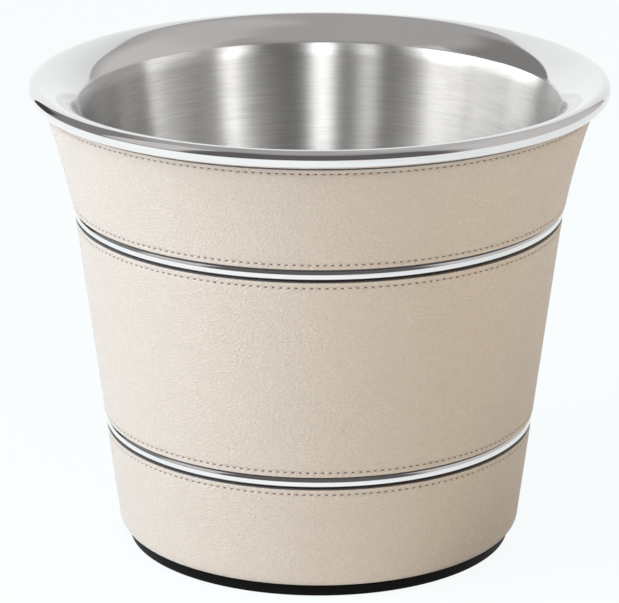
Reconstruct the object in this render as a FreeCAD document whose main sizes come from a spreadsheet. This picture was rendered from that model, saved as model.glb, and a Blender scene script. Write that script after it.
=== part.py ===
import FreeCAD, Part
import Sketcher
import math
import os
import re

# Champagne bucket. A spun steel liner hangs by its rolled rim on a flared steel casing, and the casing is clad
# in three leather bands parted by two half-round hoops. Millimetres and degrees, +Z up, origin at the centre of
# the foot's underside.

SIZES = {
    # whole bucket
    "rim_radius": 125.0,
    "total_height": 206.2,
    # foot, its side set in from the casing's corner
    "foot_inset": 0.85,
    "foot_height": 5.1,
    "foot_edge_rounding": 0.8,
    # casing, sized on its inner face; the share is how much of the way outwards the wall has made at the flare
    "casing_base_radius": 84.85,
    "casing_corner_radius": 1.7,
    "casing_thickness": 1.0,
    "flare_start_height": 135.4,
    "flare_start_share": 0.4836,
    "casing_top_angle": 70.0,
    # liner, sized on its inner face
    "liner_thickness": 1.0,
    "bead_radius": 3.8,
    "curl_end_angle": 322.0,
    "lip_outer_angle": 75.0,
    "lip_radius": 31.5,
    "lip_inner_angle": 40.0,
    "throat_rounding": 12.0,
    "jacket_gap": 7.7,
    "liner_corner_radius": 14.0,
    # disc between the two floors, set in from the flat of the liner's floor
    "support_inset": 7.0,
    "support_thickness": 8.0,
    # cladding
    "leather_thickness": 1.0,
    "backing_thickness": 1.1,
    "turned_edge_rounding": 0.9,
    "hem_width": 8.85,
    "rim_shadow_gap": 1.0,
    # hoops, their crests a little below the face of the leather
    "hoop_width": 5.2,
    "hoop_recess": 0.15,
    "lower_hoop_height": 54.6,
    "upper_hoop_above_flare": 13.75,
    "hoop_gap": 0.25,
    # clearances
    "glue_film": 0.1,
    "seat_clearance": 0.25,
}

# Sizes that follow from the ones above, in the order in which they build on each other.
DERIVED = {
    # offsets outwards from the casing's inner face
    "backing_near": "casing_thickness + glue_film",
    "backing_far": "backing_near + backing_thickness",
    "leather_near": "backing_far + glue_film",
    "leather_far": "leather_near + leather_thickness",
    # heights of the floors
    "casing_floor_height": "foot_height + leather_far",
    "support_height": "casing_floor_height + glue_film",
    "liner_floor_height": "support_height + support_thickness + glue_film + liner_thickness",
    # rolled bead
    "bead_centre_radius": "rim_radius - bead_radius",
    "bead_centre_height": "total_height - bead_radius",
    # lip, one arc tangent to the bead
    "lip_centre_radius": "bead_centre_radius + (lip_radius - bead_radius) * cos(lip_outer_angle)",
    "lip_centre_height": "bead_centre_height - (lip_radius - bead_radius) * sin(lip_outer_angle)",
    "lip_inner_radius": "lip_centre_radius - lip_radius * cos(lip_inner_angle)",
    "lip_inner_height": "lip_centre_height + lip_radius * sin(lip_inner_angle)",
    # casing's top edge, which the underside of the lip rests on
    "casing_top_reach": "lip_radius - liner_thickness - seat_clearance",
    "casing_top_radius": "lip_centre_radius - casing_top_reach * cos(casing_top_angle)",
    "casing_top_height": "lip_centre_height + casing_top_reach * sin(casing_top_angle)",
    # casing's cone, from the floor to the flare
    "flare_start_radius": "casing_base_radius + flare_start_share * (casing_top_radius - casing_base_radius)",
    "casing_wall_angle": "atan((flare_start_radius - casing_base_radius)"
                         " / (flare_start_height - casing_floor_height))",
    "casing_corner_run": "casing_corner_radius * tan((90 deg - casing_wall_angle) / 2)",
    # liner's floor, where its wall and floor would meet sharp
    "casing_radius_at_floor": "casing_base_radius"
                              " + (liner_floor_height - casing_floor_height) * tan(casing_wall_angle)",
    "liner_floor_radius": "casing_radius_at_floor - jacket_gap - liner_thickness",
    # throat, the rounding between lip and wall, and the straight wall that runs up to it from the floor
    "throat_centre_radius": "lip_inner_radius + throat_rounding * cos(lip_inner_angle)",
    "throat_centre_height": "lip_inner_height - throat_rounding * sin(lip_inner_angle)",
    "throat_across": "throat_centre_radius - liner_floor_radius",
    "throat_up": "throat_centre_height - liner_floor_height",
    "liner_wall_angle": "atan(throat_across / throat_up)"
                        " - asin(throat_rounding / sqrt(throat_across^2 + throat_up^2))",
    "throat_radius": "throat_centre_radius - throat_rounding * cos(liner_wall_angle)",
    "throat_height": "throat_centre_height + throat_rounding * sin(liner_wall_angle)",
    "liner_corner_run": "liner_corner_radius * tan((90 deg - liner_wall_angle) / 2)",
    "support_radius": "liner_floor_radius - liner_corner_run - support_inset",
    # flare, one arc that leaves the cone without a kink and ends at the top edge
    "flare_across": "casing_top_radius - flare_start_radius",
    "flare_up": "casing_top_height - flare_start_height",
    "flare_radius": "(flare_across^2 + flare_up^2)"
                    " / (2 * (flare_across * cos(casing_wall_angle) - flare_up * sin(casing_wall_angle)))",
    # hoops and the edges of the bands beside them
    "hoop_flat": "casing_thickness + glue_film",
    "hoop_crest": "leather_far - hoop_recess",
    "hoop_half_width": "hoop_width / 2",
    "hoop_radius": "((hoop_crest - hoop_flat)^2 + hoop_half_width^2) / (2 * (hoop_crest - hoop_flat))",
    "upper_hoop_height": "flare_start_height + upper_hoop_above_flare",
    "band_edge_distance": "hoop_half_width + hoop_gap",
    "lower_band_top_height": "lower_hoop_height - band_edge_distance",
    "middle_band_bottom_height": "lower_hoop_height + band_edge_distance",
    "middle_band_top_height": "upper_hoop_height - band_edge_distance",
    "upper_band_bottom_height": "upper_hoop_height + band_edge_distance",
    "top_tilt": "asin(sin(casing_wall_angle) + flare_up / flare_radius)",
    "upper_band_top_height": "bead_centre_height - bead_radius - rim_shadow_gap + leather_far * sin(top_tilt)",
    # hem, the leather that turns in under the casing
    "hem_radius": "casing_base_radius - hem_width",
    # ends of the pockets that the backing strips lie in
    "hem_pocket_radius": "hem_radius + leather_thickness",
    "lower_pocket_top_height": "lower_band_top_height - leather_thickness",
    "middle_pocket_bottom_height": "middle_band_bottom_height + leather_thickness",
    "middle_pocket_top_height": "middle_band_top_height - leather_thickness",
    "upper_pocket_bottom_height": "upper_band_bottom_height + leather_thickness",
    "upper_pocket_top_height": "upper_band_top_height - leather_thickness",
    # foot
    "foot_radius": "casing_base_radius - foot_inset",
    "foot_boss_radius": "hem_radius - seat_clearance",
    "foot_boss_height": "casing_floor_height - casing_thickness - glue_film",
}

# Heights on the casing's inner face at which a piece begins, ends or sits.
WALL_STATIONS = (
    "lower_pocket_top",
    "lower_band_top",
    "lower_hoop",
    "middle_band_bottom",
    "middle_pocket_bottom",
    "middle_pocket_top",
    "middle_band_top",
    "upper_hoop",
    "upper_band_bottom",
    "upper_pocket_bottom",
    "upper_pocket_top",
    "upper_band_top",
)

doc = FreeCAD.newDocument("ChampagneBucket")
sheet = doc.addObject("Spreadsheet::Sheet", "Sizes")


def fill_sheet():
    """Write the driving sizes and the ones that follow from them, each cell with its alias."""
    row = 0
    for alias, size in SIZES.items():
        row += 1
        sheet.set("A%d" % row, alias.replace("_", " "))
        sheet.set("B%d" % row, str(size))
        sheet.setAlias("B%d" % row, alias)
    derived = dict(DERIVED)
    for station in WALL_STATIONS:
        above = "max(0; %s_height - flare_start_height)" % station
        below = "min(%s_height; flare_start_height) - casing_floor_height" % station
        tilt = "asin(sin(casing_wall_angle) + %s / flare_radius)" % above
        derived[station + "_tilt"] = tilt
        derived[station + "_radius"] = (
            "casing_base_radius + (%s) * tan(casing_wall_angle)"
            " + flare_radius * (cos(casing_wall_angle) - cos(%s_tilt))" % (below, station)
        )
    for alias, formula in derived.items():
        row += 1
        sheet.set("A%d" % row, alias.replace("_", " "))
        sheet.set("B%d" % row, "=" + formula)
        sheet.setAlias("B%d" % row, alias)
        ALIASES.add(alias)
    doc.recompute()


ALIASES = set(SIZES)
fill_sheet()


def bound(formula):
    """The formula with each alias written as a cell of the sheet."""
    def cell(word):
        return "Sizes." + word.group() if word.group() in ALIASES else word.group()
    return re.sub(r"[a-z]+(?:_[a-z]+)*", cell, formula)


def value(formula):
    """The formula's present value as a plain number."""
    result = sheet.evalExpression(bound(formula))
    return float(getattr(result, "Value", result))


# A station is a point of a path in the half section: radius, height and tilt, which is the way that the path runs,
# 0 straight up, 90 level outwards and 180 straight down. A positive offset lies to the right of that way.
STATIONS = {
    "floor_centre": ("0", "casing_floor_height", "90"),
    "hem": ("hem_radius", "casing_floor_height", "90"),
    "hem_pocket": ("hem_pocket_radius", "casing_floor_height", "90"),
    "corner_start": ("casing_base_radius - casing_corner_run", "casing_floor_height", "90"),
    "corner_end": ("casing_base_radius + casing_corner_run * sin(casing_wall_angle)",
                   "casing_floor_height + casing_corner_run * cos(casing_wall_angle)",
                   "casing_wall_angle"),
    "flare_start": ("flare_start_radius", "flare_start_height", "casing_wall_angle"),
    "casing_top": ("casing_top_radius", "casing_top_height", "top_tilt"),
    "liner_floor_centre": ("0", "liner_floor_height", "90"),
    "liner_corner_start": ("liner_floor_radius - liner_corner_run", "liner_floor_height", "90"),
    "liner_corner_end": ("liner_floor_radius + liner_corner_run * sin(liner_wall_angle)",
                         "liner_floor_height + liner_corner_run * cos(liner_wall_angle)",
                         "liner_wall_angle"),
    "throat": ("throat_radius", "throat_height", "liner_wall_angle"),
    "lip_inner": ("lip_inner_radius", "lip_inner_height", "lip_inner_angle"),
    "lip_outer": ("bead_centre_radius - bead_radius * cos(lip_outer_angle)",
                  "bead_centre_height + bead_radius * sin(lip_outer_angle)",
                  "lip_outer_angle"),
    "bead_side": ("rim_radius", "bead_centre_height", "180"),
    "curl_end": ("bead_centre_radius - bead_radius * cos(curl_end_angle)",
                 "bead_centre_height + bead_radius * sin(curl_end_angle)",
                 "curl_end_angle"),
}
for wall_station in WALL_STATIONS:
    STATIONS[wall_station] = (wall_station + "_radius", wall_station + "_height", wall_station + "_tilt")

# A run leads to a station: straight, or an arc whose centre lies to the left or right of the way.
STRAIGHT = None
CASING_CORNER = ("left", "casing_corner_radius")
FLARE = ("right", "flare_radius")
LINER_CORNER = ("left", "liner_corner_radius")
THROAT = ("right", "throat_rounding")
LIP = ("right", "lip_radius")
BEAD = ("right", "bead_radius")


def wall_path(bottom, top):
    """The casing's inner face between two stations on its wall, by way of the flare's start if it lies between."""
    start = value("flare_start_height")
    first = value(STATIONS[bottom][1])
    last = value(STATIONS[top][1])
    path = [(bottom, STRAIGHT)]
    if first < start < last:
        path.append(("flare_start", STRAIGHT))
    path.append((top, FLARE if last > start else STRAIGHT))
    return path


def floor_path(start, top):
    """The casing's inner face from a station on its floor, round the corner and up the wall."""
    corner = [(start, STRAIGHT), ("corner_start", STRAIGHT), ("corner_end", CASING_CORNER)]
    return corner + wall_path("corner_end", top)[1:]


def offset_point(station, offset):
    """Radius and height formulas of the point that stands off a station by an offset."""
    radius, height, tilt = STATIONS[station]
    if radius == "0":
        return radius, "%s - (%s)" % (height, offset)
    return "%s + (%s) * cos(%s)" % (radius, offset, tilt), "%s - (%s) * sin(%s)" % (height, offset, tilt)


def offset_run(run, offset):
    """The same run on the offset curve."""
    if run is STRAIGHT:
        return STRAIGHT
    side, radius = run
    return side, "%s %s (%s)" % (radius, "+" if side == "left" else "-", offset)


def strip_outline(path, near, far):
    """Corners of the closed outline between two offsets of a path, each with the run that leads to it."""
    back = {"left": "right", "right": "left"}
    corners = [(offset_point(station, far), offset_run(run, far)) for station, run in path]
    arriving = STRAIGHT
    for station, run in reversed(path):
        corners.append((offset_point(station, near), arriving))
        near_run = offset_run(run, near)
        arriving = near_run and (back[near_run[0]], near_run[1])
    corners[0] = (corners[0][0], STRAIGHT)
    return corners


def arc_between(start, end, side, radius):
    """The shorter arc between two points, and whether it runs against the clock from start to end."""
    chord = end - start
    middle = (start + end) * 0.5
    rise = math.sqrt(max(0.0, radius * radius - chord.Length * chord.Length / 4))
    left = FreeCAD.Vector(-chord.y, chord.x, 0).normalize()
    centre = middle + left * (rise if side == "left" else -rise)
    first = math.atan2(start.y - centre.y, start.x - centre.x)
    last = math.atan2(end.y - centre.y, end.x - centre.x)
    if side == "right":
        first, last = last, first
    if last < first:
        last += 2 * math.pi
    circle = Part.Circle(centre, FreeCAD.Vector(0, 0, 1), radius)
    return Part.ArcOfCircle(circle, first, last), side == "left"


def origin_plane(body, role):
    """One of a body's own origin planes."""
    return next(plane for plane in body.Origin.OriginFeatures if plane.Role == role)


def new_body(label):
    body = doc.addObject("PartDesign::Body", label + "_body")
    body.Label = label
    return body


def new_sketch(body, name, role):
    sketch = body.newObject("Sketcher::SketchObject", name)
    sketch.AttachmentSupport = [(origin_plane(body, role), "")]
    sketch.MapMode = "FlatFace"
    return sketch


def bind(sketch, kind, geometry, formula):
    """Add a dimension whose value is the formula."""
    index = sketch.addConstraint(Sketcher.Constraint(kind, *geometry, value(formula)))
    sketch.setExpression("Constraints[%d]" % index, bound(formula))


def section_sketch(body, name, corners):
    """A closed half section, every corner tied to its radius and height and every arc to its radius."""
    sketch = new_sketch(body, name, "XZ_Plane")
    points = [FreeCAD.Vector(value(radius), value(height), 0) for (radius, height), run in corners]
    ends = []
    for index, point in enumerate(points):
        (radius, height), run = corners[index]
        before = points[index - 1]
        if run is STRAIGHT:
            edge = sketch.addGeometry(Part.LineSegment(before, point))
            forwards = True
        else:
            arc, forwards = arc_between(before, point, run[0], value(run[1]))
            edge = sketch.addGeometry(arc)
            bind(sketch, "Radius", (edge,), run[1])
        ends.append((edge, 2 if forwards else 1, 1 if forwards else 2))
    for index, (edge, end, start) in enumerate(ends):
        next_edge, next_end, next_start = ends[(index + 1) % len(ends)]
        sketch.addConstraint(Sketcher.Constraint("Coincident", edge, end, next_edge, next_start))
        (radius, height), run = corners[index]
        if radius == "0":
            sketch.addConstraint(Sketcher.Constraint("PointOnObject", edge, end, -2))
        else:
            bind(sketch, "DistanceX", (-1, 1, edge, end), radius)
        bind(sketch, "DistanceY", (-1, 1, edge, end), height)
    return sketch


def revolve(body, name, corners):
    """Turn a half section all the way round the upright axis."""
    sketch = section_sketch(body, name + "_section", corners)
    turned = body.newObject("PartDesign::Revolution", name)
    turned.Profile = sketch
    turned.ReferenceAxis = (sketch, ["V_Axis"])
    turned.Angle = 360
    doc.recompute()
    return turned


def cut_round(body, name, corners):
    """Cut a half section away all the way round the upright axis."""
    sketch = section_sketch(body, name + "_section", corners)
    groove = body.newObject("PartDesign::Groove", name)
    groove.Profile = sketch
    groove.ReferenceAxis = (sketch, ["V_Axis"])
    groove.Angle = 360
    doc.recompute()
    return groove


def ring_edge(shape, point):
    """Name of the round edge that passes nearest to a radius and height."""
    radius, height = (value(formula) for formula in point)
    misses = []
    for index, edge in enumerate(shape.Edges):
        if isinstance(edge.Curve, Part.Circle) and edge.Closed:
            centre = edge.Curve.Center
            misses.append((math.hypot(edge.Curve.Radius - radius, centre.z - height), "Edge%d" % (index + 1)))
    return min(misses)[1]


def round_edges(body, name, base, points, radius):
    """Round the ring edges at the given points."""
    fillet = body.newObject("PartDesign::Fillet", name)
    fillet.Base = (base, [ring_edge(base.Shape, point) for point in points])
    fillet.setExpression("Radius", bound(radius))
    doc.recompute()
    return fillet


def shell(label, path, thickness):
    """A spun sheet of even thickness that follows a path."""
    body = new_body(label)
    revolve(body, label + "_sheet", strip_outline(path, "0", thickness))
    return body


def leather_band(label, path, pocket_path, rounded):
    """Leather turned over a stiff strip: full thickness at the edges, hollowed where the strip lies."""
    body = new_body(label)
    revolve(body, label + "_band", strip_outline(path, "backing_near", "leather_far"))
    pocket = cut_round(body, label + "_pocket", strip_outline(pocket_path, "casing_thickness", "leather_near"))
    points = [offset_point(station, "leather_far") for station in rounded]
    round_edges(body, label + "_turned_edges", pocket, points, "turned_edge_rounding")
    return body


def backing_strip(label, pocket_path):
    """The stiff strip in a leather band's pocket."""
    body = new_body(label)
    revolve(body, label + "_strip", strip_outline(pocket_path, "backing_near", "backing_far"))
    return body


def hoop(label, station):
    """Half-round wire bent to a ring, its flat back bonded to the casing."""
    tilt = STATIONS[station][2]
    radius, height = offset_point(station, "hoop_flat")
    low = ("%s - hoop_half_width * sin(%s)" % (radius, tilt), "%s - hoop_half_width * cos(%s)" % (height, tilt))
    high = ("%s + hoop_half_width * sin(%s)" % (radius, tilt), "%s + hoop_half_width * cos(%s)" % (height, tilt))
    top = offset_point(station, "hoop_crest")
    round_run = ("left", "hoop_radius")
    body = new_body(label)
    revolve(body, label + "_wire", [(low, STRAIGHT), (top, round_run), (high, round_run)])
    return body


def disc(body, name, radius, length):
    """Pad a disc upwards from the base plane."""
    sketch = new_sketch(body, name + "_outline", "XY_Plane")
    circle = Part.Circle(FreeCAD.Vector(), FreeCAD.Vector(0, 0, 1), value(radius))
    edge = sketch.addGeometry(circle)
    sketch.addConstraint(Sketcher.Constraint("Coincident", edge, 3, -1, 1))
    bind(sketch, "Radius", (edge,), radius)
    pad = body.newObject("PartDesign::Pad", name)
    pad.Profile = sketch
    pad.setExpression("Length", bound(length))
    doc.recompute()
    return pad


def foot_pad(label):
    """Moulded pad: a broad disc to stand on, and a boss that the leather's hem lies round."""
    body = new_body(label)
    disc(body, label + "_disc", "foot_radius", "foot_height")
    boss = disc(body, label + "_boss", "foot_boss_radius", "foot_boss_height")
    round_edges(body, label + "_edges", boss, [("foot_radius", "0")], "foot_edge_rounding")
    return body


def support_disc(label):
    """The disc that carries the liner's floor."""
    cylinder = doc.addObject("Part::Cylinder", label)
    cylinder.Label = label
    cylinder.setExpression("Radius", bound("support_radius"))
    cylinder.setExpression("Height", bound("support_thickness"))
    cylinder.setExpression("Placement.Base.z", bound("support_height"))
    return cylinder


LINER_PATH = [
    ("liner_floor_centre", STRAIGHT),
    ("liner_corner_start", STRAIGHT),
    ("liner_corner_end", LINER_CORNER),
    ("throat", STRAIGHT),
    ("lip_inner", THROAT),
    ("lip_outer", LIP),
    ("bead_side", BEAD),
    ("curl_end", BEAD),
]
UPPER_POCKET = wall_path("upper_pocket_bottom", "upper_pocket_top")
MIDDLE_POCKET = wall_path("middle_pocket_bottom", "middle_pocket_top")
LOWER_POCKET = floor_path("hem_pocket", "lower_pocket_top")

PIECES = [
    foot_pad("foot"),
    shell("casing", floor_path("floor_centre", "casing_top"), "casing_thickness"),
    support_disc("support_pad"),
    shell("liner", LINER_PATH, "liner_thickness"),
    backing_strip("lower_backing", LOWER_POCKET),
    backing_strip("middle_backing", MIDDLE_POCKET),
    backing_strip("upper_backing", UPPER_POCKET),
    leather_band("lower_leather", floor_path("hem", "lower_band_top"), LOWER_POCKET, ["lower_band_top"]),
    leather_band("middle_leather", wall_path("middle_band_bottom", "middle_band_top"), MIDDLE_POCKET,
                 ["middle_band_bottom", "middle_band_top"]),
    leather_band("upper_leather", wall_path("upper_band_bottom", "upper_band_top"), UPPER_POCKET,
                 ["upper_band_bottom", "upper_band_top"]),
    hoop("lower_hoop", "lower_hoop"),
    hoop("upper_hoop", "upper_hoop"),
]


def check_model():
    """Stop if any object failed or any piece is not one sound solid."""
    doc.recompute()
    for item in doc.Objects:
        if "Invalid" in item.State or "Error" in item.State:
            raise RuntimeError("%s did not build" % item.Name)
    for piece in PIECES:
        shape = piece.Shape
        if shape.isNull() or not shape.isValid() or len(shape.Solids) != 1:
            raise RuntimeError("%s is not one sound solid" % piece.Label)


check_model()
os.makedirs("parts", exist_ok=True)
for piece in PIECES:
    piece.Shape.exportStep(os.path.join("parts", piece.Label + ".step"))
    print("%-16s %10.1f mm3" % (piece.Label, piece.Shape.Volume))
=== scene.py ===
from math import asin, atan, atan2, cos, degrees, hypot, pi, radians, sin, tan

import bmesh
import bpy
from bpy.props import FloatProperty, FloatVectorProperty, IntProperty, PointerProperty
from bpy.types import Operator, Panel, PropertyGroup
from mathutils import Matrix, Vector


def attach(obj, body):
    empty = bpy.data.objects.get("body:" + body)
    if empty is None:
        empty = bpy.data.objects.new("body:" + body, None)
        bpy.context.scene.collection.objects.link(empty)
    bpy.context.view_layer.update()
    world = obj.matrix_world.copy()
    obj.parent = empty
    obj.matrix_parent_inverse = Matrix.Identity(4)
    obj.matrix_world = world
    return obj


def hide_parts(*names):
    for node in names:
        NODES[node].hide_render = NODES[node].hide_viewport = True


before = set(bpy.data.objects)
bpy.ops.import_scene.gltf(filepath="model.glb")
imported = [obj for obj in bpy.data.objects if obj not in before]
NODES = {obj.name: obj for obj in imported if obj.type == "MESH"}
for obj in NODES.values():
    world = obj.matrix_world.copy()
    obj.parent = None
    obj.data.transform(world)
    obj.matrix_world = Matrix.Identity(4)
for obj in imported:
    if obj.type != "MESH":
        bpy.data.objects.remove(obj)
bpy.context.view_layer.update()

bl_info = {
    "name": "Champagne Bucket",
    "version": (1, 0, 0),
    "blender": (4, 5, 0),
    "location": "3D View > Sidebar > Bucket",
    "description": "Dresses a leather-clad steel champagne bucket and its studio",
    "category": "Object",
}

MM = 0.001

# The half section, in millimetres: radius and height. The wall path is the casing's inner face, a cone that
# runs into the flare's arc, and everything outside it is placed by an offset square to it.
FLOOR_HEIGHT = 8.4
BASE_RADIUS = 84.85
CORNER_RADIUS = 1.7
FLARE_HEIGHT = 135.4
FLARE_RADIUS_AT_START = 100.892
WALL_TOP = (118.023, 204.070)

# offsets from the wall path
LEATHER_FACE = 3.3
LEATHER_BACK = 1.1
POCKET_FACE = 2.3
HOOP_FLAT = 1.1
HOOP_CREST = 3.15

# half width of a hoop, and heights on the wall path
HOOP_HALF_WIDTH = 2.6
LOWER_HOOP_HEIGHT = 54.6
UPPER_HOOP_HEIGHT = 149.15
BAND_EDGE = 2.85
LOWER_BAND_TOP = LOWER_HOOP_HEIGHT - BAND_EDGE
MIDDLE_BAND_BOTTOM = LOWER_HOOP_HEIGHT + BAND_EDGE
MIDDLE_BAND_TOP = UPPER_HOOP_HEIGHT - BAND_EDGE
UPPER_BAND_BOTTOM = UPPER_HOOP_HEIGHT + BAND_EDGE
UPPER_BAND_TOP = 198.77

# the leather's edges: the sewn rows, the rim of the pocket for the stiff strip, and the hem under the bucket
ROW_INSET = 2.4
LOWER_ROW_INSET = 2.15
POCKET_RIM = 1.0
HEM_RADIUS = 76.0
# by distance from a sewn edge, how far the leather's face stands off the wall path
FACE_MARKS = (
    (0.0, 3.18), (1.7, 3.22), (2.05, 3.14), (2.4, 3.08), (2.75, 3.14), (3.4, 3.25), (6.0, 3.3), (500.0, 3.3),
)
# distances from a sewn edge at which the face gets a ring of points
EDGE_RINGS = (1.3, 1.7, 2.05, 2.4, 2.75, 3.4, 4.6, 6.5)
# about how far apart the rings are between the edges, on the face and in the pocket
FACE_SPACING = 4.0
POCKET_SPACING = 8.0

# each band: its solid, its lower and upper edges, and its sewn rows. The lowest is hemmed and has no lower edge.
BANDS = (
    ("lower_leather", None, LOWER_BAND_TOP,
     {"thread_lower_top": LOWER_BAND_TOP - LOWER_ROW_INSET}),
    ("middle_leather", MIDDLE_BAND_BOTTOM, MIDDLE_BAND_TOP,
     {"thread_middle_bottom": MIDDLE_BAND_BOTTOM + ROW_INSET, "thread_middle_top": MIDDLE_BAND_TOP - ROW_INSET}),
    ("upper_leather", UPPER_BAND_BOTTOM, UPPER_BAND_TOP,
     {"thread_upper_bottom": UPPER_BAND_BOTTOM + ROW_INSET, "thread_upper_top": UPPER_BAND_TOP - ROW_INSET}),
)

LINER_FLOOR_HEIGHT = 17.6
LINER_FLOOR_RADIUS = 77.31
LINER_CORNER_RADIUS = 14.0
LINER_SHEET = 1.0
BEAD_CENTRE = (121.2, 202.4)
LIP_CENTRE = (128.369, 175.643)
LIP_RADIUS = 31.5
THROAT_RADIUS = 12.0
# bearings of the lip's two ends and of the curl's end, in degrees
LIP_OUTER = 75.0
LIP_INNER = 40.0
CURL_END = 322.0

FOOT_RADIUS = 84.0
FOOT_HEIGHT = 5.1
FOOT_BOSS_RADIUS = 75.75
FOOT_BOSS_HEIGHT = 7.3
FOOT_EDGE = 0.8
FOOT_UPPER_EDGE = 0.3

# faces round the axis
ROUND_STEPS = 288
STEEL_STEPS = 320

MERGE_DISTANCE = 0.002 * MM
SMOOTH_BELOW = radians(40)


# ---- half section of the wall ----

WALL_ANGLE = atan((FLARE_RADIUS_AT_START - BASE_RADIUS) / (FLARE_HEIGHT - FLOOR_HEIGHT))
FLARE_ACROSS = WALL_TOP[0] - FLARE_RADIUS_AT_START
FLARE_UP = WALL_TOP[1] - FLARE_HEIGHT
FLARE_RADIUS = (FLARE_ACROSS ** 2 + FLARE_UP ** 2) / (
    2 * (FLARE_ACROSS * cos(WALL_ANGLE) - FLARE_UP * sin(WALL_ANGLE)))


def wall_tilt(height):
    """How far the wall leans outwards at a height of the wall path."""
    return asin(sin(WALL_ANGLE) + max(0.0, height - FLARE_HEIGHT) / FLARE_RADIUS)


def wall_point(height, offset, along=0.0):
    """A point that stands off the wall path, and further up it by a short way along."""
    tilt = wall_tilt(height)
    cone = (min(height, FLARE_HEIGHT) - FLOOR_HEIGHT) * tan(WALL_ANGLE)
    radius = BASE_RADIUS + cone + FLARE_RADIUS * (cos(WALL_ANGLE) - cos(tilt))
    return (radius + offset * cos(tilt) + along * sin(tilt),
            height - offset * sin(tilt) + along * cos(tilt))


def face_offset(distance):
    """How far the leather's face stands off the wall path at a distance from the nearer edge."""
    for (near, low), (far, high) in zip(FACE_MARKS, FACE_MARKS[1:]):
        if distance <= far:
            return low + (high - low) * (distance - near) / (far - near)
    return LEATHER_FACE


def face_heights(bottom, top):
    """Heights of the face's points: close together at the sewn edges, wide apart between them."""
    last = EDGE_RINGS[-1]
    span = top - bottom - 2 * last
    count = max(2, int(span / FACE_SPACING))
    between = [bottom + last + span * part / count for part in range(1, count)]
    return [bottom + ring for ring in EDGE_RINGS] + between + [top - ring for ring in reversed(EDGE_RINGS)]


def row_place(height):
    """Radius and level of a sewn row, on the leather's face."""
    return wall_point(height, face_offset(ROW_INSET))


def stitch_count(radius, pitch):
    return round(2 * pi * radius * MM / pitch)


def lip_edge():
    """Where the polished lip ends and the brushed bowl begins."""
    slope = radians(LIP_INNER)
    return LIP_CENTRE[0] - LIP_RADIUS * cos(slope), LIP_CENTRE[1] + LIP_RADIUS * sin(slope)


def liner_wall():
    """Tilt of the liner's straight wall, and the centre of the throat's arc."""
    slope = radians(LIP_INNER)
    edge = lip_edge()
    centre = (edge[0] + THROAT_RADIUS * cos(slope), edge[1] - THROAT_RADIUS * sin(slope))
    across = centre[0] - LINER_FLOOR_RADIUS
    up = centre[1] - LINER_FLOOR_HEIGHT
    return atan(across / up) - asin(THROAT_RADIUS / hypot(across, up)), centre


def through_sheet(point, slope):
    """The point on the other side of the liner's sheet."""
    return point[0] + LINER_SHEET * cos(slope), point[1] - LINER_SHEET * sin(slope)


# ---- modelling by hand ----

class Outline:
    """A chain of points in the plane y = 0, drawn point by point in edit mode, then turned about the axis."""

    def __init__(self, name, start):
        if bpy.context.object and bpy.context.object.mode != "OBJECT":
            bpy.ops.object.mode_set(mode="OBJECT")
        bpy.ops.object.select_all(action="DESELECT")
        self.at = start
        bpy.ops.mesh.primitive_plane_add(size=MM, location=(start[0] * MM, 0.0, start[1] * MM))
        self.piece = bpy.context.object
        self.piece.name = name
        self.piece.data.name = name
        bpy.ops.object.transform_apply(location=True, rotation=False, scale=False)
        bpy.ops.object.mode_set(mode="EDIT")
        bpy.ops.mesh.select_mode(type="VERT")
        bpy.ops.mesh.select_all(action="SELECT")
        bpy.ops.mesh.merge(type="CENTER")
        bpy.ops.mesh.select_all(action="SELECT")

    def line(self, *points):
        """Draw straight lines on to each of the points."""
        for point in points:
            step = ((point[0] - self.at[0]) * MM, 0.0, (point[1] - self.at[1]) * MM)
            bpy.ops.mesh.extrude_vertices_move(TRANSFORM_OT_translate={"value": step})
            self.at = point

    def parted_line(self, end, parts):
        """Draw one straight line in equal parts."""
        start = self.at
        for part in range(1, parts + 1):
            self.line((start[0] + (end[0] - start[0]) * part / parts,
                       start[1] + (end[1] - start[1]) * part / parts))

    def arc(self, centre, turn, steps):
        """Draw an arc about a centre, by a turn in degrees that is positive against the clock."""
        bpy.ops.mesh.spin(steps=steps, angle=radians(turn), center=(centre[0] * MM, 0.0, centre[1] * MM),
                          axis=(0.0, 1.0, 0.0), use_auto_merge=False)
        across = self.at[0] - centre[0]
        up = self.at[1] - centre[1]
        c = cos(radians(turn))
        s = sin(radians(turn))
        self.at = (centre[0] + across * c - up * s, centre[1] + across * s + up * c)

    def close(self):
        """Join the last point to the first. Only the two ends are selected, so no face is added."""
        bpy.ops.mesh.select_all(action="DESELECT")
        mesh = bmesh.from_edit_mesh(self.piece.data)
        for vertex in mesh.verts:
            if len(vertex.link_edges) == 1:
                vertex.select_set(True)
        bmesh.update_edit_mesh(self.piece.data)
        bpy.ops.mesh.edge_face_add()

    def turn(self, steps):
        """Spin the outline once round the axis and close the skin."""
        bpy.ops.mesh.select_all(action="SELECT")
        bpy.ops.mesh.spin(steps=steps, angle=2 * pi, center=(0, 0, 0), axis=(0, 0, 1), use_auto_merge=False)
        bpy.ops.mesh.select_all(action="SELECT")
        bpy.ops.mesh.remove_doubles(threshold=MERGE_DISTANCE)
        bpy.ops.mesh.normals_make_consistent(inside=False)
        bpy.ops.object.mode_set(mode="OBJECT")
        bpy.ops.object.select_all(action="DESELECT")
        self.piece.select_set(True)
        bpy.context.view_layer.objects.active = self.piece
        bpy.ops.object.shade_smooth_by_angle(angle=SMOOTH_BELOW)
        return self.piece


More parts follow.
